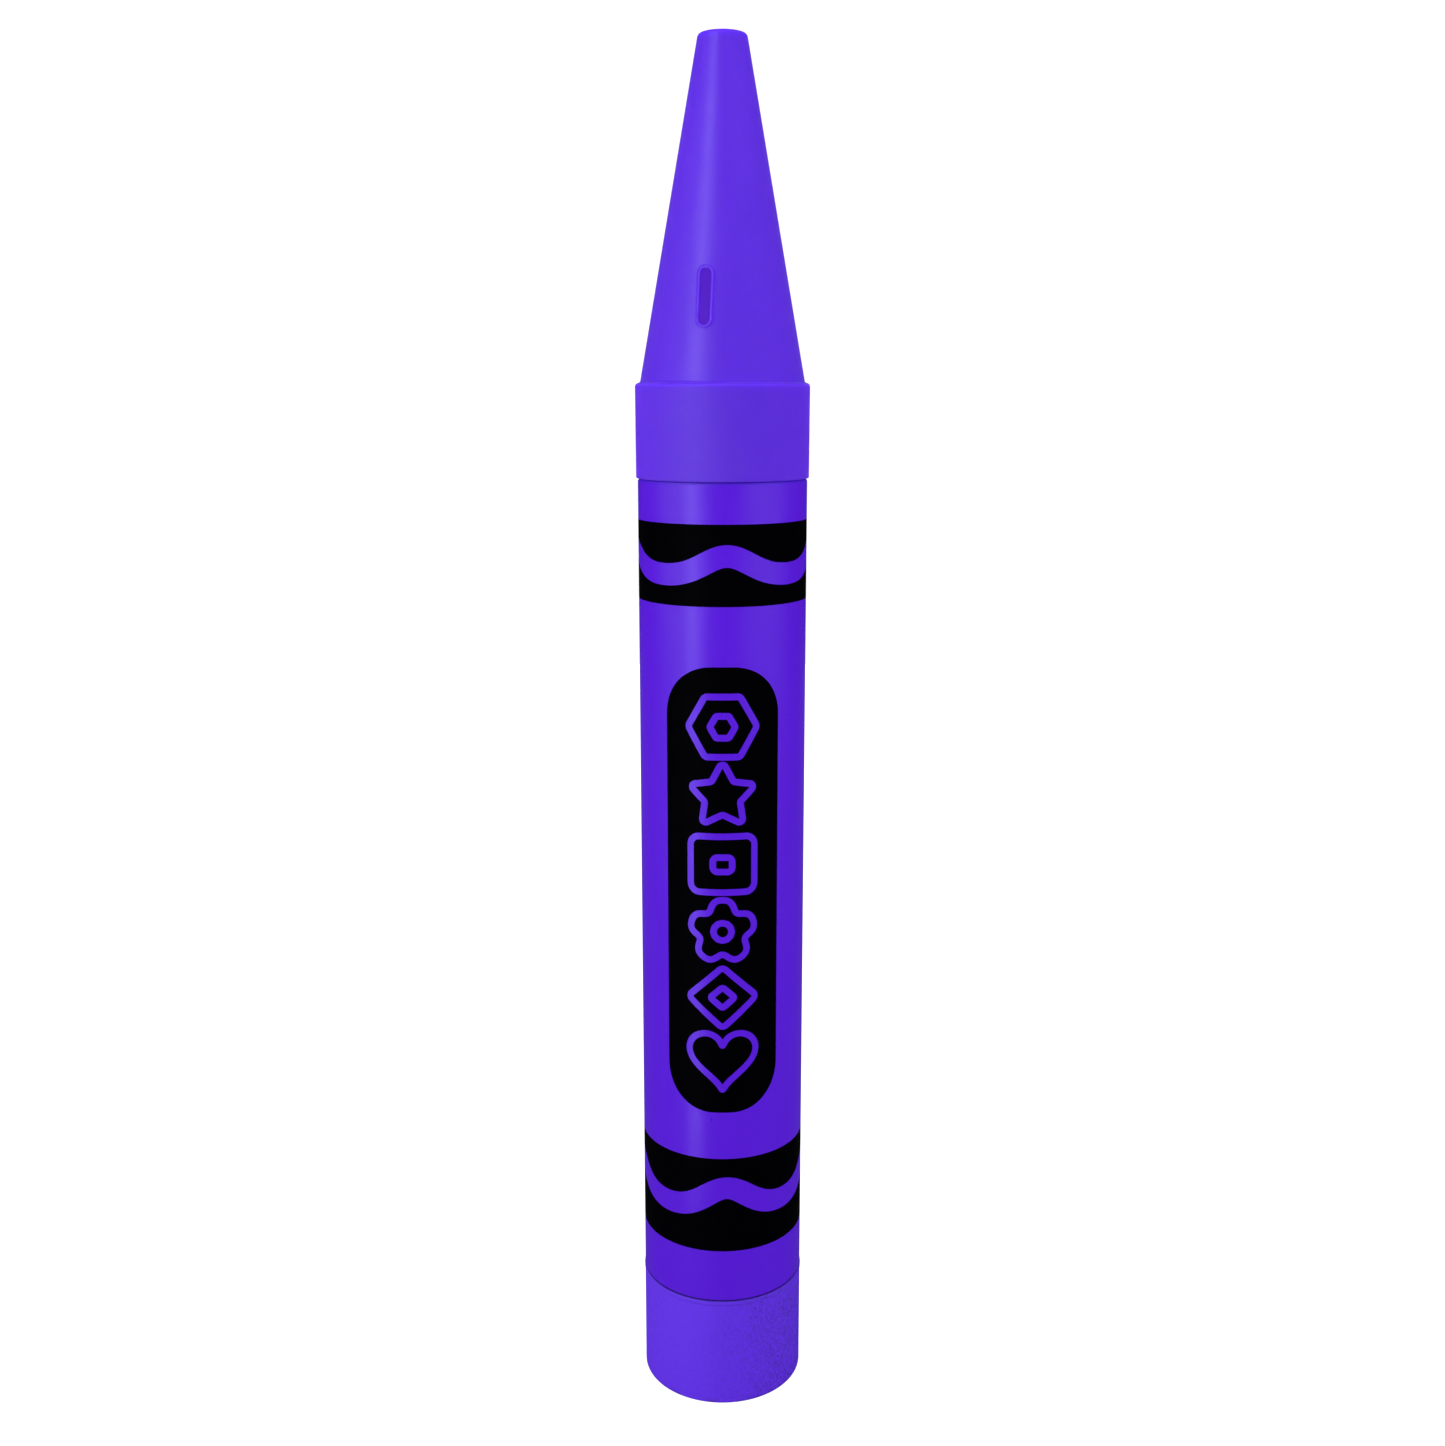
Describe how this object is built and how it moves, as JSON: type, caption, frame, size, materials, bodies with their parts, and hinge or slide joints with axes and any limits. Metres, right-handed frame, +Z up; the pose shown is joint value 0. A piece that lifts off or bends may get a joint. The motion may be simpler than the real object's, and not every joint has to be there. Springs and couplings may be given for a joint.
{
  "type": "crayon-shaped coin bank",
  "caption": "Giant crayon-shaped coin bank: hollow tube with a printed wrap, a foot cup, and a conical cap with a coin slot that lifts off to empty it.",
  "frame": {"origin": "centre of the foot's underside, on the plane it stands on", "axes": "+Z up the bank's axis to the tip, -Y out through the coin slot, +X to the right of the slot"},
  "size_m": [0.1138, 0.1138, 0.914],
  "materials": {
    "cap_plastic": "semi-gloss moulded purple plastic",
    "tube_plastic": "satin purple plastic",
    "label_film": "smooth printed film, purple",
    "label_ink": "printed black ink on the film",
    "foot_plastic": "finely textured moulded purple plastic"
  },
  "bodies": {
    "bank": {"body_tube": "tube_plastic", "wrap_label": "label_film", "foot_cap": "foot_plastic"},
    "cap": {"tip_cap": "cap_plastic"}
  },
  "joints": [
    {"name": "cap_lift", "type": "slide", "parent": "bank", "child": "cap", "axis": [0, 0, 1], "range_m": [0, 0.08]}
  ]
}
